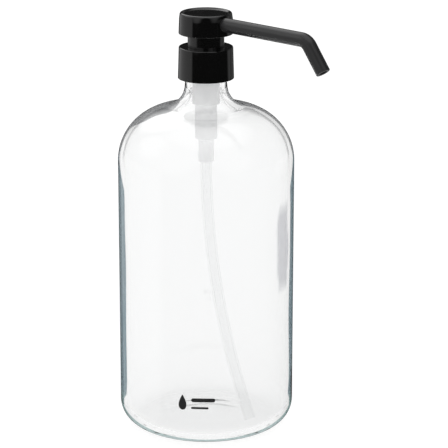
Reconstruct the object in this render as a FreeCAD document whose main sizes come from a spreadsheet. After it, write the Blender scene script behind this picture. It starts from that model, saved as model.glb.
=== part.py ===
import FreeCAD, Part
import math
import os
import Sketcher

# Soap pump dispenser: a one-litre glass bottle with a 28 mm screw neck and a lock-down pump.
# Frame: origin at the centre of the bottle's base, +Z up, spout along +X. Millimetres.

os.makedirs("parts", exist_ok=True)
doc = FreeCAD.newDocument("SoapPumpDispenser")
sheet = doc.addObject("Spreadsheet::Sheet", "dims")

# Driving dimensions. Names that end in "_r" are radii, in "_z" heights above the base.
DIMENSIONS = {
    # glass bottle
    "bottle_r": 47.5, "glass_wall": 2.6, "glass_floor": 3.6, "push_up": 1.0,
    "ring_inner_r": 24.0, "heel_fillet": 12.5, "inner_heel_fillet": 9.9,
    "shoulder_z": 171.9, "shoulder_rise": 7.85, "shoulder_fillet": 29.4, "inner_shoulder_fillet": 26.8,
    "neck_fillet": 12.5, "inner_neck_fillet": 12.0, "neck_r": 12.5, "bore_r": 8.75, "rim_z": 206.3,
    "rim_fillet": 0.8, "neck_foot_r": 12.3, "waist_r": 11.05, "waist_z": 193.0, "waist_fillet": 2.0, "finish_z": 194.6,
    # neck thread, 28 mm finish
    "pitch": 4.233, "glass_crest_r": 13.5, "glass_thread_z": 197.1, "glass_thread_turns": 1.25,
    # closure
    "closure_z": 193.5, "closure_height": 17.1, "closure_foot_r": 15.0, "closure_top_r": 14.53,
    "closure_root_r": 13.85, "closure_crest_r": 12.85, "closure_roof": 1.3, "closure_hole_r": 9.95,
    "closure_edge": 0.5, "closure_thread_z": 195.0, "closure_thread_turns": 1.25,
    # sealing stack on the rim
    "flange_r": 13.2, "gasket_z": 206.35, "gasket_height": 0.95, "flange_height": 1.0, "collar_flange": 0.95,
    # pump housing
    "socket_z": 148.1, "socket_length": 12.2, "socket_r": 4.15, "mid_length": 17.9, "mid_r": 5.95,
    "barrel_r": 7.5, "step_slope": 0.8, "tube_r": 3.0, "socket_depth": 11.7, "inlet_r": 1.9,
    "inlet_floor": 2.5, "mid_bore_r": 4.95, "barrel_bore_r": 6.4, "barrel_floor": 31.0,
    "vent_r": 0.6, "vent_z": 196.5,
    # lock collar
    "collar_r": 9.75, "collar_bore_r": 8.9, "collar_crest_r": 8.35, "collar_top_z": 217.6,
    "plug_length": 8.3, "guide_r": 3.55, "seal_r": 5.0, "seal_depth": 1.8, "lock_pitch": 3.0,
    # plunger
    "stem_r": 3.5, "stem_bore_r": 2.1, "stem_foot_z": 187.3, "stem_top_z": 222.9,
    "piston_z": 180.25, "piston_height": 6.0, "piston_r": 6.35, "piston_bore_r": 2.2, "piston_hub_r": 3.3,
    "rod_foot_z": 178.5, "rod_flange": 1.7, "rod_flange_r": 4.7, "rod_r": 1.6, "rod_head_r": 2.05,
    "rod_length": 22.0,
    # return spring, inlet cage and ball
    "wire_r": 0.4, "spring_r": 4.1, "spring_z": 163.35, "spring_height": 15.1, "spring_coils": 8.0,
    "cage_z": 162.3, "cage_flange": 1.0, "cage_r": 3.5, "cage_bore_r": 2.9, "cage_height": 5.9,
    "cage_roof": 0.8, "cage_slot": 1.6, "ball_r": 2.4, "ball_z": 163.82,
    # dip tube
    "tube_bore_r": 2.1, "tube_top_z": 159.7, "tube_bend_z": 149.0, "tube_bend_r": 320.0, "tube_sweep": 26.1,
    # head
    "head_z": 217.7, "head_height": 11.4, "head_foot_r": 14.58, "head_top_r": 14.02, "head_bore_r": 13.1,
    "head_roof": 1.5, "dish_r": 11.9, "dish_depth": 0.6, "head_edge": 0.9,
    "plate_gap": 0.5, "plate_height": 1.2, "hub_r": 6.6, "sleeve_r": 7.3, "sleeve_bore_r": 5.4,
    "sleeve_crest_r": 7.9, "sleeve_length": 8.3, "hub_height": 9.0, "outlet_boss_r": 3.3,
    # spout
    "spout_z": 224.0, "spout_r": 3.8, "spout_bore_r": 2.1, "spigot_r": 2.8, "spigot_x": 6.5,
    "spout_x": 12.6, "spout_corner_x": 71.0, "spout_bend_r": 7.0, "spout_angle": 53.0, "spout_drop": 19.0,
}


class Size(float):
    """A length together with the sheet formula that it comes from."""

    def __new__(cls, number, formula):
        size = super().__new__(cls, number)
        size.formula = formula
        return size

    def joined(self, sign, other, number):
        return Size(number, f"({self.formula} {sign} {formula_of(other)})")

    def __add__(self, other):
        return self.joined("+", other, float(self) + float(other))

    def __sub__(self, other):
        return self.joined("-", other, float(self) - float(other))

    def __mul__(self, other):
        return self.joined("*", other, float(self) * float(other))

    def __truediv__(self, other):
        return self.joined("/", other, float(self) / float(other))


def formula_of(number):
    return number.formula if isinstance(number, Size) else repr(float(number))


class Dims:
    """The sheet's aliases as attributes."""


d = Dims()
for line, (alias, number) in enumerate(DIMENSIONS.items(), start=1):
    sheet.set(f"A{line}", alias)
    sheet.set(f"B{line}", str(number))
    sheet.setAlias(f"B{line}", alias)
    setattr(d, alias, Size(number, f"dims.{alias}"))
doc.recompute()

ZERO = 0.0
EMBED = 0.25  # how far a thread's root is sunk into its wall


def bind(thing, **properties):
    """Set properties from sizes and keep them bound to the sheet."""
    for name, size in properties.items():
        setattr(thing, name, float(size))
        if isinstance(size, Size):
            thing.setExpression(name, size.formula)


def put(thing, x=ZERO, y=ZERO, z=ZERO, axis=(0, 0, 1), degrees=0):
    """Place an object, with its position bound to the sheet."""
    turn = FreeCAD.Rotation(FreeCAD.Vector(*axis), float(degrees))
    thing.Placement = FreeCAD.Placement(FreeCAD.Vector(float(x), float(y), float(z)), turn)
    for letter, size in (("x", x), ("y", y), ("z", z)):
        if isinstance(size, Size):
            thing.setExpression(f"Placement.Base.{letter}", size.formula)
    return thing


def make(kind, label, **properties):
    thing = doc.addObject(kind, label)
    thing.Label = label
    bind(thing, **properties)
    return thing


def fused(label, *shapes):
    result = make("Part::MultiFuse", label)
    result.Shapes = list(shapes)
    return result


def cut(label, base, tool):
    result = make("Part::Cut", label)
    result.Base = base
    result.Tool = tool
    return result


# ---- turned pieces -------------------------------------------------------------------------------

def outline(body, name, corners):
    """A closed sketch in the XZ plane, each corner (radius, height) bound to the sheet."""
    sketch = body.newObject("Sketcher::SketchObject", name)
    sketch.AttachmentSupport = (body.Origin.OriginFeatures[4], [""])
    sketch.MapMode = "FlatFace"
    points = [FreeCAD.Vector(float(radius), float(height), 0) for radius, height in corners]
    count = len(points)
    for i in range(count):
        sketch.addGeometry(Part.LineSegment(points[i], points[(i + 1) % count]))
    for i in range(count):
        sketch.addConstraint(Sketcher.Constraint("Coincident", i, 2, (i + 1) % count, 1))
    for i, (radius, height) in enumerate(corners):
        fix_corner(sketch, i, "DistanceX", -2, radius)
        fix_corner(sketch, i, "DistanceY", -1, height)
    return sketch


def fix_corner(sketch, line, kind, axis, size):
    """Hold a line's start at a distance from the origin, or on the axis where the distance is 0."""
    if float(size) == 0:
        sketch.addConstraint(Sketcher.Constraint("PointOnObject", line, 1, axis))
        return
    index = sketch.addConstraint(Sketcher.Constraint(kind, -1, 1, line, 1, float(size)))
    if isinstance(size, Size):
        sketch.setExpression(f"Constraints[{index}]", size.formula)


def turned(label, corners, z=ZERO):
    """A body of revolution about Z, its corners measured from the height z."""
    body = make("PartDesign::Body", label)
    put(body, z=z)
    sketch = outline(body, label + "_profile", corners)
    revolution = body.newObject("PartDesign::Revolution", label + "_turned")
    revolution.Profile = sketch
    revolution.ReferenceAxis = (sketch, ["V_Axis"])
    revolution.Angle = 360
    doc.recompute()
    return body


def rounded(body, name, radius, *spots):
    """Fillet the circular edges at the given (radius, height) spots."""
    last = body.Tip
    names = []
    for number, edge in enumerate(last.Shape.Edges, start=1):
        if not isinstance(edge.Curve, Part.Circle):
            continue
        for spot_radius, spot_height in spots:
            near_radius = abs(edge.Curve.Radius - float(spot_radius)) < 0.01
            near_height = abs(edge.Curve.Center.z - float(spot_height)) < 0.01
            if near_radius and near_height:
                names.append(f"Edge{number}")
    fillet = body.newObject("PartDesign::Fillet", name)
    fillet.Base = (last, names)
    bind(fillet, Radius=radius)
    doc.recompute()


def add_thread(body, name, root_r, crest_r, start_z, pitch, turns, base_width, crest_width):
    """A helical ridge from root_r to crest_r, sunk a little into the wall that carries it."""
    outward = float(crest_r) > float(root_r)
    sunk = root_r - EMBED if outward else root_r + EMBED
    half_slope = (base_width - crest_width) / 2
    corners = [
        (sunk, start_z),
        (crest_r, start_z + half_slope),
        (crest_r, start_z + half_slope + crest_width),
        (sunk, start_z + base_width),
    ]
    sketch = outline(body, name + "_section", corners)
    ridge = body.newObject("PartDesign::AdditiveHelix", name)
    ridge.Profile = sketch
    ridge.ReferenceAxis = (sketch, ["V_Axis"])
    ridge.Mode = 0
    bind(ridge, Pitch=pitch, Height=pitch * turns)
    doc.recompute()


# ---- glass bottle --------------------------------------------------------------------------------

glass_inner_r = d.bottle_r - d.glass_wall
inner_shoulder_z = d.shoulder_z - 2.3
bottle = turned("glass_bottle", [
    (ZERO, d.push_up),
    (d.ring_inner_r - 6.0, d.push_up),
    (d.ring_inner_r, ZERO),
    (d.bottle_r, ZERO),
    (d.bottle_r, d.shoulder_z),
    (d.neck_foot_r, d.shoulder_z + d.shoulder_rise),
    (d.waist_r, d.waist_z),
    (d.neck_r, d.finish_z),
    (d.neck_r, d.rim_z),
    (d.bore_r, d.rim_z),
    (d.bore_r, inner_shoulder_z + d.shoulder_rise),
    (glass_inner_r, inner_shoulder_z),
    (glass_inner_r, d.glass_floor),
    (ZERO, d.glass_floor),
])
rounded(bottle, "heel", d.heel_fillet, (d.bottle_r, ZERO))
rounded(bottle, "shoulder", d.shoulder_fillet, (d.bottle_r, d.shoulder_z))
rounded(bottle, "neck_root", d.neck_fillet, (d.neck_foot_r, d.shoulder_z + d.shoulder_rise))
rounded(bottle, "waist", d.waist_fillet, (d.waist_r, d.waist_z))
rounded(bottle, "inner_heel", d.inner_heel_fillet, (glass_inner_r, d.glass_floor))
rounded(bottle, "inner_shoulder", d.inner_shoulder_fillet, (glass_inner_r, inner_shoulder_z))
rounded(bottle, "inner_neck_root", d.inner_neck_fillet, (d.bore_r, inner_shoulder_z + d.shoulder_rise))
rounded(bottle, "rim", d.rim_fillet, (d.neck_r, d.rim_z), (d.bore_r, d.rim_z))
add_thread(bottle, "neck_thread", d.neck_r, d.glass_crest_r, d.glass_thread_z,
           d.pitch, d.glass_thread_turns, 2.0, 1.0)


# ---- closure -------------------------------------------------------------------------------------

closure = turned("closure", [
    (d.closure_root_r, ZERO),
    (d.closure_foot_r, ZERO),
    (d.closure_top_r, d.closure_height),
    (d.closure_hole_r, d.closure_height),
    (d.closure_hole_r, d.closure_height - d.closure_roof),
    (d.closure_root_r, d.closure_height - d.closure_roof),
], z=d.closure_z)
rounded(closure, "closure_top_edge", d.closure_edge, (d.closure_top_r, d.closure_height))
rounded(closure, "closure_foot_edge", d.closure_edge * 0.5, (d.closure_foot_r, ZERO))
add_thread(closure, "closure_thread", d.closure_root_r, d.closure_crest_r,
           d.closure_thread_z - d.closure_z, d.pitch, d.closure_thread_turns, 1.4, 0.7)


# ---- sealing stack on the rim --------------------------------------------------------------------

gasket = turned("bottle_gasket", [
    (d.bore_r + 0.2, ZERO),
    (d.flange_r, ZERO),
    (d.flange_r, d.gasket_height),
    (d.bore_r + 0.2, d.gasket_height),
], z=d.gasket_z)

flange_z = d.gasket_z + d.gasket_height
collar_z = flange_z + d.flange_height


# ---- pump housing, stepped from the flange down to the dip tube's socket ---------------------------

step_1 = d.socket_length
step_2 = d.socket_length + d.mid_length
housing_height = collar_z - d.socket_z
inlet_top = d.socket_depth + d.inlet_floor
housing = turned("housing", [
    (d.tube_r, ZERO),
    (d.socket_r, ZERO),
    (d.socket_r, step_1),
    (d.mid_r, step_1 + d.step_slope),
    (d.mid_r, step_2),
    (d.barrel_r, step_2 + d.step_slope),
    (d.barrel_r, housing_height - d.flange_height),
    (d.flange_r, housing_height - d.flange_height),
    (d.flange_r, housing_height),
    (d.barrel_bore_r, housing_height),
    (d.barrel_bore_r, d.barrel_floor),
    (d.mid_bore_r, d.barrel_floor - 1.0),
    (d.mid_bore_r, inlet_top),
    (d.inlet_r, inlet_top),
    (d.inlet_r, d.socket_depth),
    (d.tube_r, d.socket_depth),
], z=d.socket_z)
vent_drill = make("Part::Cylinder", "vent_drill", Radius=d.vent_r, Height=d.barrel_r * 2)
put(vent_drill, z=d.vent_z, axis=(1, 0, 0), degrees=90)
vented_housing = cut("housing", housing, vent_drill)


# ---- lock collar: plug and stem guide in the housing, threaded cup above the closure ---------------

plug_z = collar_z - d.plug_length
collar_floor = d.plug_length + d.collar_flange
cup_height = d.collar_top_z - plug_z
collar = turned("lock_collar", [
    (d.guide_r, ZERO),
    (d.barrel_bore_r - 1.4, ZERO),
    (d.barrel_bore_r, 1.2),
    (d.barrel_bore_r, d.plug_length),
    (d.flange_r, d.plug_length),
    (d.flange_r, collar_floor),
    (d.collar_r, collar_floor),
    (d.collar_r, cup_height),
    (d.collar_bore_r, cup_height),
    (d.collar_bore_r, collar_floor),
    (d.seal_r, collar_floor),
    (d.seal_r, collar_floor - d.seal_depth),
    (d.guide_r, collar_floor - d.seal_depth),
], z=plug_z)
rounded(collar, "collar_lip", 0.3, (d.collar_r, cup_height))
add_thread(collar, "collar_thread", d.collar_bore_r, d.collar_crest_r, collar_floor + 3.2,
           d.lock_pitch, 1.0, 1.0, 0.5)

seal = turned("stem_seal", [
    (d.guide_r, ZERO),
    (d.seal_r, ZERO),
    (d.seal_r, d.seal_depth - 0.4),
    (d.guide_r + 0.7, d.seal_depth - 0.4),
    (d.guide_r, d.seal_depth),
], z=plug_z + collar_floor - d.seal_depth)


# ---- plunger: stem, piston and the rod that carries the outlet seat ---------------------------------

stem = turned("stem", [
    (d.stem_bore_r, ZERO),
    (d.stem_r - 0.3, ZERO),
    (d.stem_r, ZERO + 0.6),
    (d.stem_r, d.stem_top_z - d.stem_foot_z),
    (d.stem_bore_r, d.stem_top_z - d.stem_foot_z),
], z=d.stem_foot_z)

piston = turned("piston", [
    (d.piston_bore_r, ZERO),
    (d.piston_hub_r, ZERO),
    (d.piston_hub_r, d.piston_height * 0.4),
    (d.piston_r - 0.8, d.piston_height * 0.4),
    (d.piston_r - 0.8, ZERO + 0.6),
    (d.piston_r, ZERO + 0.6),
    (d.piston_r, ZERO + 1.4),
    (d.piston_r - 0.3, ZERO + 2.0),
    (d.piston_r - 0.3, d.piston_height - 1.4),
    (d.piston_r, d.piston_height - 0.8),
    (d.piston_r, d.piston_height),
    (d.piston_r - 0.8, d.piston_height),
    (d.piston_r - 0.8, d.piston_height * 0.6),
    (d.piston_hub_r, d.piston_height * 0.6),
    (d.piston_hub_r, d.piston_height),
    (d.piston_bore_r, d.piston_height),
], z=d.piston_z)

rod_shoulder = d.stem_foot_z - d.rod_foot_z + 1.2
rod_blank = turned("rod_blank", [
    (ZERO, ZERO),
    (d.rod_flange_r - 1.2, ZERO),
    (d.rod_flange_r, ZERO),
    (d.rod_flange_r, d.rod_flange * 0.4),
    (d.piston_hub_r, d.rod_flange),
    (d.rod_r, d.rod_flange),
    (d.rod_r, rod_shoulder - 0.5),
    (d.rod_head_r, rod_shoulder),
    (d.rod_head_r, d.rod_length),
    (ZERO, d.rod_length),
], z=d.rod_foot_z)
flat_offset = d.rod_head_r * 0.7
rod_cutters = []
for side, turn in (("left", 0), ("right", 180)):
    cutter = make("Part::Box", f"rod_flat_{side}", Length=d.rod_head_r, Width=d.rod_head_r * 2,
                  Height=d.rod_length)
    offset = FreeCAD.Vector(float(flat_offset), -float(d.rod_head_r), 0)
    turned_offset = FreeCAD.Rotation(FreeCAD.Vector(0, 0, 1), turn).multVec(offset)
    put(cutter, turned_offset.x, turned_offset.y, d.rod_foot_z + rod_shoulder - 0.5, degrees=turn)
    rod_cutters.append(cutter)
rod = cut("piston_rod", rod_blank, fused("rod_flats", *rod_cutters))


# ---- return spring, ball cage and inlet ball ----------------------------------------------------------

spring = make("PartDesign::Body", "return_spring")
put(spring, z=d.spring_z)
wire = spring.newObject("Sketcher::SketchObject", "wire_section")
wire.AttachmentSupport = (spring.Origin.OriginFeatures[4], [""])
wire.MapMode = "FlatFace"
wire_centre = FreeCAD.Vector(float(d.spring_r), float(d.wire_r), 0)
wire.addGeometry(Part.Circle(wire_centre, FreeCAD.Vector(0, 0, 1), float(d.wire_r)))
for kind, ends, size in (
    ("DistanceX", (-1, 1, 0, 3), d.spring_r),
    ("DistanceY", (-1, 1, 0, 3), d.wire_r),
    ("Radius", (0,), d.wire_r),
):
    index = wire.addConstraint(Sketcher.Constraint(kind, *ends, float(size)))
    wire.setExpression(f"Constraints[{index}]", size.formula)
coil = spring.newObject("PartDesign::AdditiveHelix", "spring_coil")
coil.Profile = wire
coil.ReferenceAxis = (wire, ["V_Axis"])
coil.Mode = 0
coil_height = d.spring_height - d.wire_r * 2
bind(coil, Pitch=coil_height / d.spring_coils, Height=coil_height)

cage_blank = turned("cage_blank", [
    (d.cage_bore_r, ZERO),
    (d.mid_bore_r, ZERO),
    (d.mid_bore_r, d.cage_flange),
    (d.cage_r, d.cage_flange),
    (d.cage_r, d.cage_height),
    (d.cage_bore_r * 0.5, d.cage_height),
    (d.cage_bore_r * 0.5, d.cage_height - d.cage_roof),
    (d.cage_bore_r, d.cage_height - d.cage_roof),
], z=d.cage_z)
slots = []
for name, turn in (("first", 0), ("second", 90)):
    slot = make("Part::Box", f"cage_slot_{name}", Length=d.cage_r * 2 + 1.0, Width=d.cage_slot,
                Height=d.cage_height - d.cage_roof - d.cage_flange * 2)
    half = FreeCAD.Vector(-float(d.cage_r) - 0.5, -float(d.cage_slot) / 2, 0)
    corner = FreeCAD.Rotation(FreeCAD.Vector(0, 0, 1), turn).multVec(half)
    put(slot, corner.x, corner.y, d.cage_z + d.cage_flange * 2, degrees=turn)
    slots.append(slot)
cage = cut("ball_cage", cage_blank, fused("cage_slots", *slots))

ball = make("Part::Sphere", "inlet_ball", Radius=d.ball_r)
put(ball, z=d.ball_z)


# ---- bent tubes: straight run, bend, straight run -----------------------------------------------------

def bent_rod(label, radius, first, bend_r, sweep, last):
    """A round bar along +Z from the origin that bends towards +X, kept as three joined primitives."""
    start = make("Part::Cylinder", label + "_start", Radius=radius, Height=first)
    bend = make("Part::Torus", label + "_bend", Radius1=bend_r, Radius2=radius, Angle3=sweep)
    # the ring's own axis becomes -Y, and its arc starts at the top of the first run
    put(bend, x=bend_r, z=first)
    start_turn = FreeCAD.Rotation(FreeCAD.Vector(0, 0, 1), 180)
    lay_turn = FreeCAD.Rotation(FreeCAD.Vector(1, 0, 0), -90)
    bend.Placement.Rotation = lay_turn.multiply(start_turn)
    pieces = [start, bend]
    if float(last) > 0:
        angle = math.radians(float(sweep))
        end = make("Part::Cylinder", label + "_end", Radius=radius, Height=last)
        end_x = float(bend_r) * (1 - math.cos(angle))
        end_z = float(first) + float(bend_r) * math.sin(angle)
        put(end, x=end_x, z=end_z, axis=(0, 1, 0), degrees=float(sweep))
        end.setExpression("Placement.Base.x", f"{bend_r.formula} * (1 - cos({sweep.formula} * 1 deg))")
        end.setExpression("Placement.Base.z",
                          f"{first.formula} + {bend_r.formula} * sin({sweep.formula} * 1 deg)")
        pieces.append(end)
    return fused(label, *pieces)


dip_straight = d.tube_top_z - d.tube_bend_z
dip_outer = bent_rod("dip_outer", d.tube_r, dip_straight, d.tube_bend_r, d.tube_sweep, ZERO)
dip_inner = bent_rod("dip_inner", d.tube_bore_r, dip_straight, d.tube_bend_r, d.tube_sweep, ZERO)
dip_tube = cut("dip_tube", dip_outer, dip_inner)
put(dip_tube, z=d.tube_top_z, axis=(1, 0, 0), degrees=180)

bend_reach = float(d.spout_bend_r) * math.tan(math.radians(float(d.spout_angle) / 2))
reach_formula = f"{d.spout_bend_r.formula} * tan({d.spout_angle.formula} * 0.5 deg)"
reach = Size(bend_reach, reach_formula)
spout_run = d.spout_corner_x - d.spout_x - reach
spout_tip = d.spout_drop - reach
spout_outer = bent_rod("spout_outer", d.spout_r, spout_run, d.spout_bend_r, d.spout_angle, spout_tip)
spigot_length = d.spout_x - d.spigot_x
spigot = make("Part::Cylinder", "spigot", Radius=d.spigot_r, Height=spigot_length)
put(spigot, z=spigot_length * -1.0)
spout_bar = fused("spout_bar", spout_outer, spigot)
spout_inner = bent_rod("spout_inner", d.spout_bore_r, spout_run, d.spout_bend_r, d.spout_angle, spout_tip)
spigot_bore = make("Part::Cylinder", "spigot_bore", Radius=d.spout_bore_r, Height=spigot_length)
put(spigot_bore, z=spigot_length * -1.0)
spout_bore = fused("spout_bore", spout_inner, spigot_bore)
spout = cut("spout", spout_bar, spout_bore)
put(spout, x=d.spout_x, z=d.spout_z, axis=(0, 1, 0), degrees=90)


# ---- head: core with threaded sleeve and outlet, and its cover ------------------------------------------

sleeve_foot_z = d.head_z + d.plate_gap - d.sleeve_length
plate_low = d.sleeve_length
plate_top = d.sleeve_length + d.plate_height
hub_top = d.sleeve_length + d.hub_height
core_blank = turned("core_blank", [
    (d.sleeve_bore_r, ZERO),
    (d.sleeve_r, ZERO),
    (d.sleeve_r, plate_low),
    (d.head_bore_r, plate_low),
    (d.head_bore_r, plate_top),
    (d.hub_r, plate_top),
    (d.hub_r, hub_top),
    (ZERO, hub_top),
    (ZERO, d.spout_z - sleeve_foot_z),
    (d.stem_bore_r, d.spout_z - sleeve_foot_z),
    (d.stem_bore_r, d.stem_top_z - sleeve_foot_z),
    (d.stem_r, d.stem_top_z - sleeve_foot_z),
    (d.stem_r, plate_low),
    (d.sleeve_bore_r, plate_low),
], z=sleeve_foot_z)
add_thread(core_blank, "sleeve_thread", d.sleeve_r, d.sleeve_crest_r, 0.8,
           d.lock_pitch, 1.5, 1.0, 0.5)
outlet_boss = make("Part::Cylinder", "outlet_boss", Radius=d.outlet_boss_r, Height=d.spout_x)
put(outlet_boss, z=d.spout_z, axis=(0, 1, 0), degrees=90)
outlet_socket = make("Part::Cylinder", "outlet_socket", Radius=d.spigot_r, Height=d.spout_x)
put(outlet_socket, x=d.spigot_x, z=d.spout_z, axis=(0, 1, 0), degrees=90)
outlet_channel = make("Part::Cylinder", "outlet_channel", Radius=d.spout_bore_r, Height=d.spout_x)
put(outlet_channel, z=d.spout_z, axis=(0, 1, 0), degrees=90)
stem_clearance = make("Part::Cylinder", "stem_clearance", Radius=d.stem_bore_r,
                      Height=d.spout_z - d.stem_top_z)
put(stem_clearance, z=d.stem_top_z)
core_solid = fused("core_solid", core_blank, outlet_boss)
core_bores = fused("core_bores", outlet_socket, outlet_channel, stem_clearance)
core = cut("head_core", core_solid, core_bores)

shell_blank = turned("shell_blank", [
    (d.head_bore_r, ZERO),
    (d.head_foot_r, ZERO),
    (d.head_top_r, d.head_height),
    (d.dish_r + 0.9, d.head_height),
    (d.dish_r, d.head_height - d.dish_depth),
    (ZERO, d.head_height - d.dish_depth),
    (ZERO, d.head_height - d.head_roof),
    (d.head_bore_r, d.head_height - d.head_roof),
], z=d.head_z)
rounded(shell_blank, "head_edge", d.head_edge, (d.head_top_r, d.head_height))
rounded(shell_blank, "dish_edge", 0.3, (d.dish_r + 0.9, d.head_height))
rounded(shell_blank, "head_foot_edge", 0.25, (d.head_foot_r, ZERO))
spout_hole = make("Part::Cylinder", "spout_hole", Radius=d.spout_r, Height=d.head_foot_r)
put(spout_hole, x=d.spout_x, z=d.spout_z, axis=(0, 1, 0), degrees=90)
shell = cut("head_shell", shell_blank, spout_hole)


# ---- check and export --------------------------------------------------------------------------------

doc.recompute()

PARTS = {
    "glass_bottle": bottle,
    "closure": closure,
    "bottle_gasket": gasket,
    "housing": vented_housing,
    "lock_collar": collar,
    "stem_seal": seal,
    "stem": stem,
    "piston": piston,
    "piston_rod": rod,
    "return_spring": spring,
    "ball_cage": cage,
    "inlet_ball": ball,
    "dip_tube": dip_tube,
    "head_core": core,
    "head_shell": shell,
    "spout": spout,
}

for thing in doc.Objects:
    if "Invalid" in thing.State or "Error" in thing.State:
        raise RuntimeError(f"{thing.Name}: {thing.State}")
for node, thing in PARTS.items():
    thing.Label = node
    shape = thing.Shape
    if not shape.isValid() or len(shape.Solids) != 1:
        raise RuntimeError(f"{node}: valid {shape.isValid()}, solids {len(shape.Solids)}")
    shape.exportStep(f"parts/{node}.step")
    box = shape.BoundBox
    print(f"{node:14s} z {box.ZMin:7.2f} to {box.ZMax:7.2f}  x {box.XMin:7.2f} to {box.XMax:7.2f}"
          f"  volume {shape.Volume:9.1f}")
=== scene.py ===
"""Soap pump dispenser: glass bottle with a black lock-down pump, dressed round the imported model."""

import math

import bmesh
import bpy
from mathutils import Matrix, Quaternion, Vector, noise


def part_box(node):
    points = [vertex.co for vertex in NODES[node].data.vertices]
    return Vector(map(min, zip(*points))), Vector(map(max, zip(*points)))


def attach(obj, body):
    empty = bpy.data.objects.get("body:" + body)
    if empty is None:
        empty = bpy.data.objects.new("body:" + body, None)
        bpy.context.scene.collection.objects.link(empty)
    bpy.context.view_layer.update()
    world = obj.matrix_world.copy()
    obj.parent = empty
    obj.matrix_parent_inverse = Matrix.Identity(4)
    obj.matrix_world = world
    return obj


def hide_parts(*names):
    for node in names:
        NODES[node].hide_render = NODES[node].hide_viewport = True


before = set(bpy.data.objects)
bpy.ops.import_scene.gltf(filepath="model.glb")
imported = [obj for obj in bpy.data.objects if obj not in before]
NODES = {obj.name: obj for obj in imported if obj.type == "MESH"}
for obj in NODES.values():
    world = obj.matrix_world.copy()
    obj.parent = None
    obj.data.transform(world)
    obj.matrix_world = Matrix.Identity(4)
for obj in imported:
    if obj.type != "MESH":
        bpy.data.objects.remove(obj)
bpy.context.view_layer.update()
MM = 0.001
ON_AXIS = 1e-6  # a lathe point nearer to the axis than this is a pole


# ---- sizes from the frame ------------------------------------------------------------------------

def low_z(node):
    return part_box(node)[0][2]


def top_z(node):
    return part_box(node)[1][2]


def radius(node):
    """Outer radius of a round node that stands on the bottle's axis."""
    low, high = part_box(node)
    return (high[1] - low[1]) / 2


# ---- profiles and lathe --------------------------------------------------------------------------

def rounded_path(corners, step_deg=6.0):
    """Points along a (radius, height) path. Each corner is (r, z), or (r, z, fillet) where it is rounded."""
    points = []
    last = len(corners) - 1
    for i, corner in enumerate(corners):
        here = Vector(corner[:2])
        fillet = corner[2] if len(corner) > 2 else 0.0
        if i in (0, last) or fillet == 0:
            points.append((here.x, here.y))
            continue
        back = (Vector(corners[i - 1][:2]) - here).normalized()
        ahead = (Vector(corners[i + 1][:2]) - here).normalized()
        half = back.angle(ahead) / 2
        reach = fillet / math.tan(half)
        start = here + back * reach
        centre = here + (back + ahead).normalized() * (fillet / math.sin(half))
        sweep = math.pi - 2 * half
        turn = 1 if back.cross(ahead) < 0 else -1
        count = max(2, math.ceil(math.degrees(sweep) / step_deg))
        for k in range(count + 1):
            spoke = Matrix.Rotation(turn * sweep * k / count, 2) @ (start - centre)
            points.append(tuple(centre + spoke))
    return points


def densified(points, longest):
    """The same path with no run longer than the given length."""
    result = [points[0]]
    for a, b in zip(points, points[1:]):
        run = math.dist(a, b)
        count = max(1, math.ceil(run / longest))
        for k in range(1, count + 1):
            result.append((a[0] + (b[0] - a[0]) * k / count, a[1] + (b[1] - a[1]) * k / count))
    return result


def into_scene(name, mesh):
    """Turn a bmesh into an object of the scene, with its normals outwards."""
    bmesh.ops.recalc_face_normals(mesh, faces=mesh.faces)
    data = bpy.data.meshes.new(name)
    mesh.to_mesh(data)
    mesh.free()
    piece = bpy.data.objects.new(name, data)
    bpy.context.scene.collection.objects.link(piece)
    return piece


def lathe(name, points, segments=128, closed=True, shift=None):
    """A solid of revolution about Z. shift(angle, r, z) may move a point's radius."""
    mesh = bmesh.new()
    rings = []
    for r, z in points:
        if r < ON_AXIS:
            rings.append([mesh.verts.new((0, 0, z))])
            continue
        ring = []
        for k in range(segments):
            angle = math.tau * k / segments
            out = r + (shift(angle, r, z) if shift else 0.0)
            ring.append(mesh.verts.new((out * math.cos(angle), out * math.sin(angle), z)))
        rings.append(ring)
    pairs = list(zip(rings, rings[1:]))
    if closed and len(rings[0]) > 1:
        pairs.append((rings[-1], rings[0]))
    for a, b in pairs:
        for k in range(segments):
            n = (k + 1) % segments
            corners = [a[k % len(a)], a[n % len(a)], b[n % len(b)], b[k % len(b)]]
            unique = list(dict.fromkeys(corners))
            if len(unique) >= 3:
                mesh.faces.new(unique)
    piece = into_scene(name, mesh)
    smooth(piece)
    return piece


def smooth(piece, sharp_deg=35.0):
    for face in piece.data.polygons:
        face.use_smooth = True
    piece.data.set_sharp_from_angle(angle=math.radians(sharp_deg))


def paint_piece(piece, material):
    piece.data.materials.clear()
    piece.data.materials.append(material)


def stands_for(piece, body, slot, *nodes):
    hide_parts(*nodes)
    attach(piece, body)


# ---- materials -----------------------------------------------------------------------------------

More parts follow.
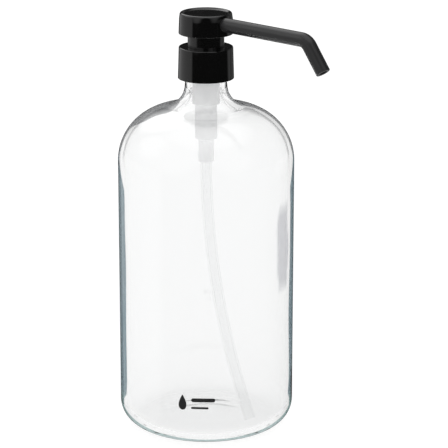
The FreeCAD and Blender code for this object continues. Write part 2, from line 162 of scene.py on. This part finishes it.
class Paint:
    """A node tree with a Principled BSDF, and short calls for the nodes that feed it."""

    def __init__(self, name, **settings):
        self.material = bpy.data.materials.new(name)
        self.material.use_nodes = True
        self.tree = self.material.node_tree
        self.shader = self.tree.nodes["Principled BSDF"]
        for socket, value in settings.items():
            self.shader.inputs[socket.replace("_", " ")].default_value = value
        self.place = self.tree.nodes.new("ShaderNodeTexCoord").outputs["Object"]

    def node(self, kind, inputs=None, **properties):
        made = self.tree.nodes.new("ShaderNode" + kind)
        for key, value in properties.items():
            setattr(made, key, value)
        for key, value in (inputs or {}).items():
            if isinstance(value, bpy.types.NodeSocket):
                self.tree.links.new(value, made.inputs[key])
            else:
                made.inputs[key].default_value = value
        return made

    def noise(self, scale, detail, stretch=(1, 1, 1)):
        mapped = self.node("Mapping", {"Vector": self.place, "Scale": stretch}).outputs["Vector"]
        inputs = {"Vector": mapped, "Scale": scale, "Detail": detail}
        return self.node("TexNoise", inputs).outputs["Fac"]

    def ranged(self, value, low, high, to_low, to_high):
        inputs = {"Value": value, "From Min": low, "From Max": high, "To Min": to_low, "To Max": to_high}
        return self.node("MapRange", inputs).outputs["Result"]

    def mixed(self, factor, first, second):
        made = self.node("Mix", data_type="RGBA")
        for index, value in ((0, factor), (6, first), (7, second)):
            if isinstance(value, bpy.types.NodeSocket):
                self.tree.links.new(value, made.inputs[index])
            else:
                made.inputs[index].default_value = value
        return made.outputs[2]

    def bump(self, height, strength, distance):
        inputs = {"Height": height, "Strength": strength, "Distance": distance}
        self.feed(self.node("Bump", inputs).outputs["Normal"], "Normal")

    def times(self, first, second):
        return self.node("Math", {0: first, 1: second}, operation="MULTIPLY").outputs[0]

    def attribute(self, name):
        return self.node("Attribute", attribute_name=name).outputs["Fac"]

    def facing(self):
        """0 where the surface faces the eye and 1 where it is seen edge-on."""
        return self.node("LayerWeight", {"Blend": 0.5}).outputs["Facing"]

    def feed(self, value, socket):
        self.tree.links.new(value, self.shader.inputs[socket])


def grey(value, blue=0.0):
    return (value, value, value * (1 + blue), 1)


def scaled(colour, factor):
    return tuple(c * factor for c in colour[:3]) + (1,)


def glossy_black(name, base, rough_low, rough_high):
    """Polished moulded plastic: faint flow lines in the gloss and a trace of dust."""
    paint = Paint(name, Base_Color=grey(base), Specular_IOR_Level=0.5, Coat_Weight=0.35, Coat_Roughness=0.04)
    flow = paint.noise(180, 3, stretch=(1, 1, 0.35))
    paint.feed(paint.ranged(flow, 0.3, 0.7, rough_low, rough_high), "Roughness")
    tone = paint.noise(900, 2)
    paint.feed(paint.mixed(paint.ranged(tone, 0.55, 0.8, 0, 0.5), grey(base), grey(base * 2.2)), "Base Color")
    paint.bump(paint.noise(60, 2), 0.03, 0.0002)
    return paint.material


def satin_black(name, base, rough):
    """Satin coating with a fine even grain."""
    paint = Paint(name, Base_Color=grey(base, 0.06), Specular_IOR_Level=0.5)
    grain = paint.noise(3800, 2)
    cloud = paint.noise(120, 3)
    paint.feed(paint.ranged(cloud, 0.3, 0.7, rough - 0.04, rough + 0.05), "Roughness")
    paint.feed(paint.mixed(paint.ranged(grain, 0.4, 0.7, 0, 1), grey(base, 0.06), grey(base * 1.5, 0.06)),
               "Base Color")
    paint.bump(grain, 0.12, 0.00006)
    return paint.material


def milky_plastic(name, colour, clear, rough, edge=0.9, painted_glow=0.0, ior=1.42):
    """Polypropylene: milky or clear, slightly uneven in colour, with painted shade darkening it where it is
    seen edge-on. Its emission is painted light, standing in for the light that the thin wall lets through
    from behind."""
    paint = Paint(name, Base_Color=colour, IOR=ior, Transmission_Weight=clear, Roughness=rough,
                  Emission_Color=colour, Emission_Strength=painted_glow)
    cloud = paint.noise(240, 3)
    body = paint.mixed(cloud, colour, scaled(colour, 0.975))
    # Painted shade: darker where the surface is seen edge-on.
    rim = paint.ranged(paint.facing(), 0.5, 0.85, 0, 1)
    paint.feed(paint.mixed(rim, body, scaled(colour, edge)), "Base Color")
    if clear < 0.5:
        paint.feed(paint.ranged(cloud, 0.3, 0.7, rough - 0.05, rough + 0.06), "Roughness")
        paint.bump(paint.noise(700, 2), 0.03, 0.00005)
    return paint.material


def bright_steel(name, base, rough):
    """Drawn wire and ground balls: lines along the height in the gloss."""
    paint = Paint(name, Base_Color=grey(base), Metallic=1.0)
    draw = paint.noise(1500, 2, stretch=(1, 1, 0.2))
    paint.feed(paint.ranged(draw, 0.3, 0.7, rough * 0.7, rough * 1.4), "Roughness")
    paint.feed(paint.mixed(draw, grey(base), grey(base * 0.85)), "Base Color")
    return paint.material


def soft_foam(name, colour):
    """Matt foamed plastic with fine cells."""
    paint = Paint(name, Base_Color=colour, Roughness=0.8)
    cells = paint.noise(2600, 3)
    paint.feed(paint.mixed(cells, colour, scaled(colour, 0.86)), "Base Color")
    paint.feed(paint.ranged(cells, 0.3, 0.7, 0.7, 0.9), "Roughness")
    paint.bump(cells, 0.3, 0.0001)
    return paint.material


GLASS_TINT = (0.952, 0.955, 0.955, 1)
# Painted light on the glass: the edge, streak, heel and neck colours are painted shade, the patch colour is a
# painted reflection and the line colour is a painted shade line. They stand in for the dark room seen through
# and mirrored in the walls.
EDGE_PAINTED_SHADE = (0.03, 0.064, 0.084, 1)
STREAK_PAINTED_SHADE = (0.115, 0.165, 0.19, 1)
HEEL_PAINTED_SHADE = (0.13, 0.24, 0.235, 1)
NECK_PAINTED_SHADE = (0.15, 0.155, 0.16, 1)
PATCH_PAINTED_REFLECTION = (0.44, 0.44, 0.47, 1)
LINE_PAINTED_SHADE = (0.05, 0.052, 0.055, 1)
HEEL_PAINTED_SHADE_Z = (12 * MM, 22 * MM)
NECK_PAINTED_SHADE_Z = (150 * MM, 158 * MM)
EDGE_SOFTNESS = 0.018


def bottle_glass(name, outer):
    """Clear soda-lime glass. Where the outer wall is seen edge-on its colour turns to painted shade,
    blue-grey, teal at the heel and grey at the neck, from the facing value in edge_start, with a painted grey
    reflection beside the thin side's edge. The inner wall draws a thin painted shade line beside that band
    where shoulder_line says."""
    paint = Paint(name, Base_Color=GLASS_TINT, IOR=1.5, Transmission_Weight=1.0, Roughness=0.0)
    ripple = paint.noise(38, 2, stretch=(1, 1, 0.3))
    paint.bump(ripple, 0.05, 0.0006)
    facing = paint.facing()
    if outer:
        # Painted shade: the edge-on band of the outer wall, streaked, teal at the heel and grey at the neck.
        start = paint.attribute("edge_start")
        stop = paint.node("Math", {0: start, 1: EDGE_SOFTNESS}, operation="ADD").outputs[0]
        edge = paint.ranged(facing, start, stop, 0, 1)
        streak = paint.ranged(paint.noise(46, 2, stretch=(1, 1, 0.25)), 0.35, 0.65, 0, 0.6)
        band = paint.mixed(streak, EDGE_PAINTED_SHADE, STREAK_PAINTED_SHADE)
        height = paint.node("SeparateXYZ", {"Vector": paint.place}).outputs["Z"]
        band = paint.mixed(paint.ranged(height, *HEEL_PAINTED_SHADE_Z, 1, 0), band, HEEL_PAINTED_SHADE)
        band = paint.mixed(paint.ranged(height, *NECK_PAINTED_SHADE_Z, 0, 1), band, NECK_PAINTED_SHADE)
        # Painted reflection: a grey patch beside the thin side's edge.
        patch = paint.times(paint.attribute("painted_reflection"), paint.ranged(facing, 0.32, 0.4, 0, 1))
        paint.feed(paint.mixed(edge, paint.mixed(patch, GLASS_TINT, PATCH_PAINTED_REFLECTION), band), "Base Color")
    else:
        # Painted shade: a thin dark line where the inner wall is seen edge-on from inside the glass.
        from_glass = paint.node("NewGeometry").outputs["Backfacing"]
        grazing = paint.times(paint.ranged(facing, 0.238, 0.25, 0, 1), from_glass)
        line = paint.times(grazing, paint.attribute("shoulder_line"))
        paint.feed(paint.mixed(line, GLASS_TINT, LINE_PAINTED_SHADE), "Base Color")
    return paint.material


# ---- glass bottle --------------------------------------------------------------------------------

BOTTLE_R = radius("glass_bottle")
RIM_Z = top_z("glass_bottle")
WALL = 2.6 * MM
FLOOR_Z = 3.6 * MM
PUSH_UP = 1.0 * MM
PUSH_UP_R = 12 * MM
STANDING_R = 29 * MM  # from here outwards the base is flat
PUSH_UP_FILLET = 150 * MM
HEEL_FILLET = 12.5 * MM
INNER_HEEL_FILLET = 9.9 * MM
SHOULDER_Z = RIM_Z - 34.4 * MM
SHOULDER_RISE = 7.85 * MM
SHOULDER_FILLET = 29.4 * MM
INNER_SHOULDER_Z = SHOULDER_Z - 2.3 * MM
INNER_SHOULDER_FILLET = 26.8 * MM
NECK_FOOT_R = 12.3 * MM
NECK_FILLET = 12.5 * MM
INNER_NECK_FILLET = 12 * MM
WAIST_R = 11.05 * MM
WAIST_Z = 193 * MM
WAIST_FILLET = 2 * MM
NECK_R = 12.5 * MM
FINISH_Z = 194.6 * MM  # the neck has its full radius from here up
BORE_R = 8.75 * MM
RIM_FILLET = 0.8 * MM
RIM_MIDDLE_R = BORE_R + 2 * MM

PITCH = 4.233 * MM
THREAD_Z = 198.1 * MM
THREAD_TURNS = 1.25
THREAD_LEAD_IN = 0.02  # turns
THREAD_HEIGHT = 1.0 * MM
THREAD_FLANK = 0.7 * MM
THREAD_CREST = 0.55 * THREAD_FLANK  # half the width of the thread's flat top

BODY_LOW = 14 * MM
BODY_HIGH = 153 * MM
THIN_WAY = math.radians(43.8)  # the side on which the wall is thinnest
INNER_SHARE = 0.12  # how much of the wall's unevenness is in the inner surface's shape

EDGE_PLAIN = 0.87  # facing value at which the painted edge shade starts on an even wall
# Where the painted grey reflection lies on the glass.
PATCH_Z = 106 * MM
PATCH_HALF_HEIGHT = 23 * MM
PATCH_DEG = 13.5
GLASS_SEGMENTS = 192


def ramp(value, low, high):
    """0 at low, 1 at high, straight between them and level outside."""
    return max(0.0, min(1.0, (value - low) / (high - low)))


def wall_at(angle, z):
    """How thick the blown wall looks edge-on: thinner towards one side, and slowly wavy."""
    fade = min(ramp(z, BODY_LOW, BODY_LOW + 14 * MM), ramp(z, BODY_HIGH, BODY_HIGH - 24 * MM))
    way = Vector((math.cos(angle) * 1.3, math.sin(angle) * 1.3, z * 26))
    lean = math.cos(angle - THIN_WAY)
    return WALL + fade * (-0.72 * MM * lean + 0.5 * MM * noise.noise(way))


def thread_height(angle, z):
    """How far the neck's thread stands out at this place."""
    courses = [angle / math.tau + turn for turn in range(-1, 3)]
    gaps = [abs(z - THREAD_Z - PITCH * along) for along in courses
            if -THREAD_LEAD_IN <= along <= THREAD_TURNS]
    if not gaps:
        return 0.0
    return THREAD_HEIGHT * ramp(min(gaps), THREAD_CREST + THREAD_FLANK, THREAD_CREST)


def glass_shape(angle, r, z):
    """The thread on the neck, and the slow unevenness of the blown inner wall."""
    if z > 190 * MM and r > 12 * MM:
        return thread_height(angle, z)
    if abs(r - (BOTTLE_R - WALL)) < 0.01 * MM and BODY_LOW < z < BODY_HIGH:
        return (WALL - wall_at(angle, z)) * INNER_SHARE
    return 0.0


def thick_shoulder(angle, z):
    """Extra glass that has gathered on the shoulder, on the thick side of the bottle: 0 to 1."""
    side = max(0.0, -math.cos(angle - THIN_WAY)) ** 4
    return side * ramp(z, 167 * MM, 173 * MM) * ramp(z, 182 * MM, 179 * MM)


def edge_start_at(angle, z):
    """The facing value at which the painted edge shade starts. On the body the band is as wide as the wall.
    """
    band = 1 - math.sqrt(1 - (1 - wall_at(angle, z) / BOTTLE_R) ** 2)
    body = min(ramp(z, 10 * MM, 20 * MM), ramp(z, BODY_HIGH, BODY_HIGH - 16 * MM))
    plain = EDGE_PLAIN - 0.3 * ramp(z, 16 * MM, 5 * MM) - 0.1 * ramp(z, 146 * MM, 158 * MM)
    plain -= 0.22 * thick_shoulder(angle, z) + 0.23 * ramp(z, 178 * MM, 184 * MM)
    return plain + (band - plain) * body


def shoulder_line_at(angle, z):
    """The inner wall's painted shade line is only drawn from the shoulder up."""
    return ramp(z, BODY_HIGH - 6 * MM, BODY_HIGH + 2 * MM)


def painted_reflection_at(angle, z):
    """A painted grey reflection that lies beside the thin side's edge at half height."""
    along = (z - PATCH_Z) / PATCH_HALF_HEIGHT
    if abs(along) >= 1.3:
        return 0.0
    waver = 1.5 * noise.noise(Vector((0.3, 0.7, z * 90)))
    half_width_deg = 7.5 - 2.5 * along ** 2
    across = (math.degrees(angle) - PATCH_DEG + waver) / half_width_deg
    return ramp(max(abs(along), abs(across)), 1.12, 0.88)


outer_glass = rounded_path([
    (0, PUSH_UP),
    (PUSH_UP_R, PUSH_UP, PUSH_UP_FILLET),
    (STANDING_R, 0, PUSH_UP_FILLET),
    (BOTTLE_R, 0, HEEL_FILLET),
    (BOTTLE_R, SHOULDER_Z, SHOULDER_FILLET),
    (NECK_FOOT_R, SHOULDER_Z + SHOULDER_RISE, NECK_FILLET),
    (WAIST_R, WAIST_Z, WAIST_FILLET),
    (NECK_R, FINISH_Z),
    (NECK_R, RIM_Z, RIM_FILLET),
    (RIM_MIDDLE_R, RIM_Z),
], 3.0)
inner_glass = rounded_path([
    (RIM_MIDDLE_R, RIM_Z),
    (BORE_R, RIM_Z, RIM_FILLET),
    (BORE_R, INNER_SHOULDER_Z + SHOULDER_RISE, INNER_NECK_FILLET),
    (BOTTLE_R - WALL, INNER_SHOULDER_Z, INNER_SHOULDER_FILLET),
    (BOTTLE_R - WALL, FLOOR_Z, INNER_HEEL_FILLET),
    (0, FLOOR_Z),
], 3.0)
outer_run = densified(outer_glass, 4 * MM)
neck_start = next(i for i, p in enumerate(outer_run) if p[1] > 190 * MM)
outer_run = outer_run[:neck_start] + densified(outer_run[neck_start:], 0.35 * MM)
inner_run = densified(inner_glass, 4 * MM)
glass = lathe("bottle_glass", outer_run + inner_run[1:], GLASS_SEGMENTS, closed=False, shift=glass_shape)
glass.data.materials.append(bottle_glass("clear_glass_outer", True))
glass.data.materials.append(bottle_glass("clear_glass_inner", False))
outer_faces = (len(outer_run) - 1) * GLASS_SEGMENTS
for number, face in enumerate(glass.data.polygons):
    face.material_index = 0 if number < outer_faces else 1
smooth(glass, 60)
for attribute, value_at in {
    "edge_start": edge_start_at,
    "shoulder_line": shoulder_line_at,
    "painted_reflection": painted_reflection_at,
}.items():
    layer = glass.data.attributes.new(attribute, "FLOAT", "POINT")
    for vertex in glass.data.vertices:
        x, y, z = vertex.co
        layer.data[vertex.index].value = value_at(math.atan2(y, x), z)
stands_for(glass, "bottle", "clear_glass", "glass_bottle")


# ---- closure and head ----------------------------------------------------------------------------

BLACK_GLOSS = glossy_black("black_gloss", 0.0022, 0.07, 0.13)
BLACK_PART = glossy_black("black_part", 0.0025, 0.14, 0.22)
SPOUT_SATIN = satin_black("spout_satin", 0.01, 0.3)
# The natural plastic's emission is painted light.
NATURAL = milky_plastic("natural_plastic", (0.95, 0.952, 0.956, 1), 0.0, 0.4, painted_glow=0.25)
TUBE_CLEAR = milky_plastic("tube_plastic", (0.975, 0.977, 0.977, 1), 1.0, 0.0, edge=0.82, ior=1.02)
PISTON_SOFT = milky_plastic("piston_plastic", (0.78, 0.84, 0.87, 1), 0.3, 0.4)
STEEL = bright_steel("spring_steel", 0.62, 0.22)
FOAM = soft_foam("seal_foam", (0.84, 0.84, 0.82, 1))


BLACK_SEGMENTS = 160

CLOSURE_LOW = low_z("closure")
CLOSURE_TOP = top_z("closure")
CLOSURE_R = radius("closure")
CLOSURE_BORE_R = 13.85 * MM
CLOSURE_HOLE_R = 9.95 * MM
CLOSURE_ROOF_Z = CLOSURE_TOP - 1.3 * MM
closure_shape = rounded_path([
    (CLOSURE_BORE_R, CLOSURE_LOW),
    (CLOSURE_R, CLOSURE_LOW, 0.3 * MM),
    (CLOSURE_R - 0.47 * MM, CLOSURE_TOP, 0.6 * MM),
    (CLOSURE_HOLE_R, CLOSURE_TOP, 0.15 * MM),
    (CLOSURE_HOLE_R, CLOSURE_ROOF_Z),
    (CLOSURE_BORE_R, CLOSURE_ROOF_Z, 0.4 * MM),
    (CLOSURE_BORE_R, CLOSURE_LOW),
], 10)
closure = lathe("closure_cap", densified(closure_shape[:-1], 3 * MM), BLACK_SEGMENTS)
paint_piece(closure, BLACK_GLOSS)
stands_for(closure, "screw_cap", "black_gloss", "closure")

HEAD_LOW = low_z("head_shell")
HEAD_TOP = top_z("head_shell")
HEAD_R = radius("head_shell")
HEAD_BORE_R = 13.1 * MM
head_shape = rounded_path([
    (HEAD_BORE_R, HEAD_LOW),
    (HEAD_R, HEAD_LOW, 0.3 * MM),
    (HEAD_R - 0.3 * MM, HEAD_TOP - 3.4 * MM, 8 * MM),
    (HEAD_R - 0.72 * MM, HEAD_TOP, 1.1 * MM),
    (12.6 * MM, HEAD_TOP, 0.4 * MM),
    (11.7 * MM, HEAD_TOP - 0.7 * MM, 0.6 * MM),
    (0, HEAD_TOP - 0.9 * MM),
    (0, HEAD_TOP - 1.6 * MM),
    (HEAD_BORE_R, HEAD_TOP - 1.5 * MM, 0.5 * MM),
    (HEAD_BORE_R, HEAD_LOW),
], 8)
head = lathe("head_cover", densified(head_shape[:-1], 3 * MM), BLACK_SEGMENTS)
paint_piece(head, BLACK_GLOSS)
stands_for(head, "plunger", "black_gloss", "head_shell")


# ---- spout and dip tube --------------------------------------------------------------------------

def tube(name, centres, outer, inner, segments, lip):
    """A hollow tube through points in the XZ plane, its ends cut square with a small lip round them."""
    mesh = bmesh.new()
    last = len(centres) - 1
    ways = [(centres[min(i + 1, last)] - centres[max(i - 1, 0)]).normalized() for i in range(last + 1)]
    sections = [(0, 0.0, outer - lip, inner + lip), (0, lip, outer, inner)]
    sections += [(i, 0.0, outer, inner) for i in range(1, last)]
    sections += [(last, -lip, outer, inner), (last, 0.0, outer - lip, inner + lip)]
    side = Vector((0, 1, 0))

    def ring(centre, other, r):
        turns = [math.tau * k / segments for k in range(segments)]
        return [mesh.verts.new(centre + (side * math.cos(t) + other * math.sin(t)) * r) for t in turns]

    outers, inners = [], []
    for i, along, wide, narrow in sections:
        centre = centres[i] + ways[i] * along
        other = ways[i].cross(side)
        outers.append(ring(centre, other, wide))
        inners.append(ring(centre, other, narrow))
    ends = [(outers[0], inners[0]), (outers[-1], inners[-1])]
    for a, b in list(zip(outers, outers[1:])) + list(zip(inners, inners[1:])) + ends:
        for k in range(segments):
            n = (k + 1) % segments
            mesh.faces.new((a[k], a[n], b[n], b[k]))
    piece = into_scene(name, mesh)
    smooth(piece, 40)
    return piece


def bent_line(start, way, first, bend_r, sweep_deg, last, towards, step_deg):
    """Points of a straight run, a bend towards a side and, unless last is 0, another straight run."""
    longest = 6 * MM
    runs = max(1, math.ceil(first / longest))
    points = [start + way * (first * k / runs) for k in range(runs + 1)]
    hub = points[-1] + towards * bend_r
    count = math.ceil(sweep_deg / step_deg)
    for k in range(1, count + 1):
        angle = math.radians(sweep_deg) * k / count
        points.append(hub - towards * bend_r * math.cos(angle) + way * bend_r * math.sin(angle))
    exit_way = way * math.cos(math.radians(sweep_deg)) + towards * math.sin(math.radians(sweep_deg))
    if last > 0:
        end = points[-1]
        runs = max(1, math.ceil(last / longest))
        points += [end + exit_way * (last * k / runs) for k in range(1, runs + 1)]
    return points


DOWN = Vector((0, 0, -1))
OUTWARDS = Vector((1, 0, 0))

SPOUT_Z = HEAD_TOP - 5.1 * MM
SPOUT_R = radius("spout")
SPOUT_BORE_R = 2.1 * MM
SPOUT_X = 12.6 * MM
SPOUT_CORNER_X = 71.0 * MM
SPOUT_BEND_R = 7.0 * MM
SPOUT_ANGLE = 53.0
SPOUT_DROP = 19.0 * MM
reach = SPOUT_BEND_R * math.tan(math.radians(SPOUT_ANGLE / 2))
spout_line = bent_line(Vector((SPOUT_X, 0, SPOUT_Z)), OUTWARDS, SPOUT_CORNER_X - SPOUT_X - reach,
                       SPOUT_BEND_R, SPOUT_ANGLE, SPOUT_DROP - reach, DOWN, 3.0)
spout = tube("spout_tube", spout_line, SPOUT_R, SPOUT_BORE_R, 48, 0.25 * MM)
paint_piece(spout, SPOUT_SATIN)
stands_for(spout, "plunger", "spout_satin", "spout")

DIP_TOP = top_z("dip_tube")
DIP_R = 3.0 * MM
DIP_BORE_R = 2.1 * MM
DIP_STRAIGHT = 10.7 * MM
DIP_BEND_R = 320 * MM
DIP_SWEEP = 26.1
dip_line = bent_line(Vector((0, 0, DIP_TOP)), DOWN, DIP_STRAIGHT, DIP_BEND_R, DIP_SWEEP, 0, OUTWARDS, 1.0)
dip = tube("suction_tube", dip_line, DIP_R, DIP_BORE_R, 40, 0.1 * MM)
paint_piece(dip, TUBE_CLEAR)
stands_for(dip, "pump_body", "tube_plastic", "dip_tube")


# ---- printed mark on the glass -------------------------------------------------------------------

MARK_AZIMUTH = 37.8  # same measure as the camera's azimuth
MARK_Z = 26.0 * MM
INK_FOOT = 0.005 * MM
INK_TOP = 0.03 * MM


def on_glass(across, up, lift):
    """A point on the bottle's straight wall, from its place in the mark's own flat drawing."""
    angle = math.radians(MARK_AZIMUTH - 90) + across / BOTTLE_R
    out = BOTTLE_R + lift
    return Vector((out * math.cos(angle), out * math.sin(angle), MARK_Z + up))


def drop_outline(x, z, width, height, count=28):
    """A water drop: a round belly that draws up into a point."""
    points = []
    for k in range(count):
        turn = math.tau * k / count
        narrowing = (0.5 + 0.5 * math.cos(turn)) ** 1.5
        across = math.sin(turn) * width / 2 * (1 - 0.75 * narrowing)
        points.append((across + x, math.cos(turn) * height / 2 + z))
    return points


def bar_outline(x, z, width, height, count=6):
    """A short bar with round ends."""
    half = width / 2 - height / 2
    points = []
    for side, start in ((1, 0.0), (-1, math.pi)):
        for k in range(count + 1):
            turn = start + math.pi * k / count
            points.append((x + side * half + math.sin(turn) * height / 2, z + math.cos(turn) * height / 2))
    return points


def ink(name, outlines):
    """Thin printed shapes that follow the curved wall."""
    mesh = bmesh.new()
    for shape in outlines:
        low = [mesh.verts.new(on_glass(x, z, INK_FOOT)) for x, z in shape]
        high = [mesh.verts.new(on_glass(x, z, INK_TOP)) for x, z in shape]
        mesh.faces.new(high)
        mesh.faces.new(list(reversed(low)))
        for k in range(len(shape)):
            n = (k + 1) % len(shape)
            mesh.faces.new((low[k], low[n], high[n], high[k]))
    piece = into_scene(name, mesh)
    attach(piece, "bottle")
    return piece


drop = drop_outline(-8 * MM, 0.3 * MM, 5.4 * MM, 8.6 * MM)
long_bar = bar_outline(3.2 * MM, 1.8 * MM, 13 * MM, 2.2 * MM)
short_bar = bar_outline(1.4 * MM, -2.6 * MM, 9.4 * MM, 1.2 * MM)
paint_piece(ink("print_mark", [drop, long_bar, short_bar]), satin_black("print_ink", 0.006, 0.5))


# ---- carried-over nodes --------------------------------------------------------------------------

for node, material in {
    "bottle_gasket": FOAM,
    "stem_seal": FOAM,
    "housing": NATURAL,
    "ball_cage": NATURAL,
    "stem": NATURAL,
    "piston_rod": NATURAL,
    "piston": PISTON_SOFT,
    "return_spring": STEEL,
    "inlet_ball": STEEL,
    "lock_collar": BLACK_PART,
    "head_core": BLACK_PART,
}.items():
    paint_piece(NODES[node], material)


# ---- floor, camera and light ---------------------------------------------------------------------

STAGE_HALF = 8.0
STAGE_Z = -0.2 * MM

stage_mesh = bpy.data.meshes.new("studio_floor")
stage_corners = [(x * STAGE_HALF, y * STAGE_HALF, STAGE_Z) for x, y in ((-1, -1), (1, -1), (1, 1), (-1, 1))]
stage_mesh.from_pydata(stage_corners, [], [(0, 1, 2, 3)])
floor = bpy.data.objects.new("studio_floor", stage_mesh)
bpy.context.scene.collection.objects.link(floor)
floor_paint = Paint("studio_floor", Base_Color=grey(0.16), Roughness=0.8,
                    Emission_Color=grey(1.0), Emission_Strength=0.9)
paint_piece(floor, floor_paint.material)
floor.visible_glossy = False

VIEW_AZIMUTH = 43.8
VIEW_ELEVATION = 16.36
CAMERA_DISTANCE = 1211.5 * MM
SENSOR_MM = 36.0
LENS_MM = 179.357
SHIFT_X = 0.03973
SHIFT_Y = -0.02656
ROLL_DEG = -0.08
AIM = Vector((0, 0, 118.75 * MM))


def towards_viewer(azimuth, elevation):
    a, e = math.radians(azimuth), math.radians(elevation)
    return Vector((math.sin(a) * math.cos(e), -math.cos(a) * math.cos(e), math.sin(e)))


camera_data = bpy.data.cameras.new("camera")
camera_data.sensor_width = SENSOR_MM
camera_data.lens = LENS_MM
camera_data.shift_x = SHIFT_X
camera_data.shift_y = SHIFT_Y
camera_data.clip_start = 0.05
camera_data.clip_end = 60
camera = bpy.data.objects.new("camera", camera_data)
back = towards_viewer(VIEW_AZIMUTH, VIEW_ELEVATION)
camera.location = AIM + back * CAMERA_DISTANCE
level_turn = back.to_track_quat("Z", "Y")
camera.rotation_euler = (level_turn @ Quaternion((0, 0, 1), math.radians(ROLL_DEG))).to_euler()
bpy.context.scene.collection.objects.link(camera)
bpy.context.scene.camera = camera


# The studio: white all round for soft light, and a dark room with soft panels for what mirrors in the gloss.

def studio_world():
    world = bpy.data.worlds.new("studio")
    bpy.context.scene.world = world
    world.use_nodes = True
    tree = world.node_tree
    background = tree.nodes["Background"]
    way = tree.nodes.new("ShaderNodeTexCoord").outputs["Generated"]

    def node(kind, inputs, **properties):
        made = tree.nodes.new("ShaderNode" + kind)
        for key, value in properties.items():
            setattr(made, key, value)
        for key, value in inputs.items():
            if isinstance(value, bpy.types.NodeSocket):
                tree.links.new(value, made.inputs[key])
            else:
                made.inputs[key].default_value = value
        return made

    def panel(azimuth, elevation, inner_deg, outer_deg, level):
        """A soft-edged light: full within inner_deg of its middle, gone beyond outer_deg."""
        middle = towards_viewer(azimuth, elevation)
        cosine = node("VectorMath", {0: way, 1: middle}, operation="DOT_PRODUCT").outputs["Value"]
        limits = {"Value": cosine, "From Min": math.cos(math.radians(outer_deg)),
                  "From Max": math.cos(math.radians(inner_deg)), "To Min": 0.0, "To Max": level}
        return node("MapRange", limits, interpolation_type="SMOOTHSTEP").outputs["Result"]

    level = None
    for spec in PANELS:
        one = panel(*spec)
        level = one if level is None else node("Math", {0: level, 1: one}, operation="MAXIMUM").outputs[0]
    room = node("Math", {0: level, 1: ROOM_LEVEL}, operation="ADD").outputs[0]
    path = tree.nodes.new("ShaderNodeLightPath").outputs
    seen_through = node("Math", {0: 1.0, 1: path["Is Transmission Ray"]}, operation="SUBTRACT").outputs[0]
    mirrored = node("Math", {0: path["Is Glossy Ray"], 1: seen_through}, operation="MULTIPLY").outputs[0]
    strength = node("Mix", {0: mirrored, 2: SOFT_LEVEL, 3: room}, data_type="FLOAT").outputs[0]
    tree.links.new(strength, background.inputs["Strength"])
    background.inputs["Color"].default_value = (1, 1, 1, 1)


SOFT_LEVEL = 0.95
ROOM_LEVEL = 0.02
PANELS = [
    # azimuth, elevation, inner and outer half-angle, level
    (VIEW_AZIMUTH - 105, 0, 42, 50, 0.5),
    (VIEW_AZIMUTH + 112, -5, 5, 15, 0.3),
    (VIEW_AZIMUTH + 135, 10, 18, 40, 0.14),
    (VIEW_AZIMUTH - 42, 26, 20, 34, 0.6),
    (VIEW_AZIMUTH + 38, 26, 17, 31, 0.5),
    (VIEW_AZIMUTH - 92, 32, 8, 32, 1.15),
    (VIEW_AZIMUTH - 155, 45, 14, 34, 1.6),
    (VIEW_AZIMUTH, 88, 22, 50, 1.2),
    (VIEW_AZIMUTH, -90, 40, 66, 0.9),
]
studio_world()

# Light that runs inside the glass walls needs many bounces to get out again.
light_paths = bpy.context.scene.cycles
light_paths.max_bounces = 40
light_paths.glossy_bounces = 24
light_paths.transmission_bounces = 40

bpy.context.scene.view_settings.view_transform = "Standard"
bpy.context.scene.view_settings.look = "None"
